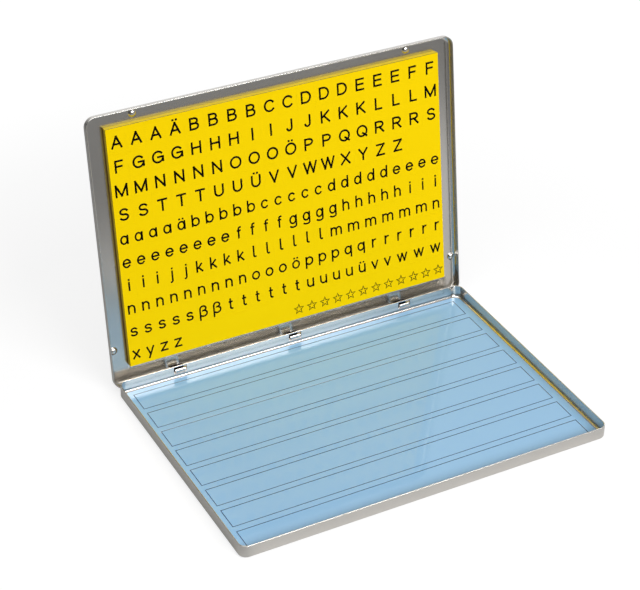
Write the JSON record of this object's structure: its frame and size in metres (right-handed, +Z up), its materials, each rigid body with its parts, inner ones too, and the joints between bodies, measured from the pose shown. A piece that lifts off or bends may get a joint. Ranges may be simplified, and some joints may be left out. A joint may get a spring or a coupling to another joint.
{
  "type": "magnetic letter tile case",
  "caption": "Flat hinged tinplate case, standing open: a ruled glossy card in the shallow tray, a sheet of cut magnetic letter tiles in the lid.",
  "frame": {"origin": "centre of the base tray's underside, on the surface the case stands on", "axes": "+X to the right along the case's long side, parallel to the hinge; -Y to the front, away from the hinge; +Z up"},
  "size_m": [0.2328, 0.1925, 0.1673],
  "materials": {
    "tinplate": "satin tinplate",
    "blue_card": "glossy laminated card",
    "yellow_foam": "dense foam",
    "yellow_foil": "printed magnetic foil, yellow face on a dark magnetic core"
  },
  "bodies": {
    "tray": {"base_tray": "tinplate", "writing_card": "blue_card"},
    "lid": {"lid": "tinplate", "foam_pad": "yellow_foam"},
    "capital_tiles": {"capital_tiles_row_1": "yellow_foil", "capital_tiles_row_2": "yellow_foil", "capital_tiles_row_3": "yellow_foil", "capital_tiles_row_4": "yellow_foil", "blank_strip_capitals": "yellow_foil"},
    "small_tiles": {"small_tiles_row_5": "yellow_foil", "small_tiles_row_6": "yellow_foil", "small_tiles_row_7": "yellow_foil", "small_tiles_row_8": "yellow_foil", "small_tiles_row_9": "yellow_foil", "small_tiles_row_10": "yellow_foil", "blank_strip_small": "yellow_foil"},
    "star_tiles": {"star_tiles": "yellow_foil"}
  },
  "joints": [
    {"name": "lid_hinge", "type": "hinge", "parent": "tray", "child": "lid", "pos_m": [0, 0.0812, 0.0046], "axis": [1, 0, 0], "range_deg": [0, 99]},
    {"name": "capital_tiles_lift", "type": "slide", "parent": "lid", "child": "capital_tiles", "axis": [0, -0.9877, 0.1564], "range_m": [0, 0.004]},
    {"name": "small_tiles_lift", "type": "slide", "parent": "lid", "child": "small_tiles", "axis": [0, -0.9877, 0.1564], "range_m": [0, 0.004]},
    {"name": "star_tiles_lift", "type": "slide", "parent": "lid", "child": "star_tiles", "axis": [0, -0.9877, 0.1564], "range_m": [0, 0.004]}
  ]
}
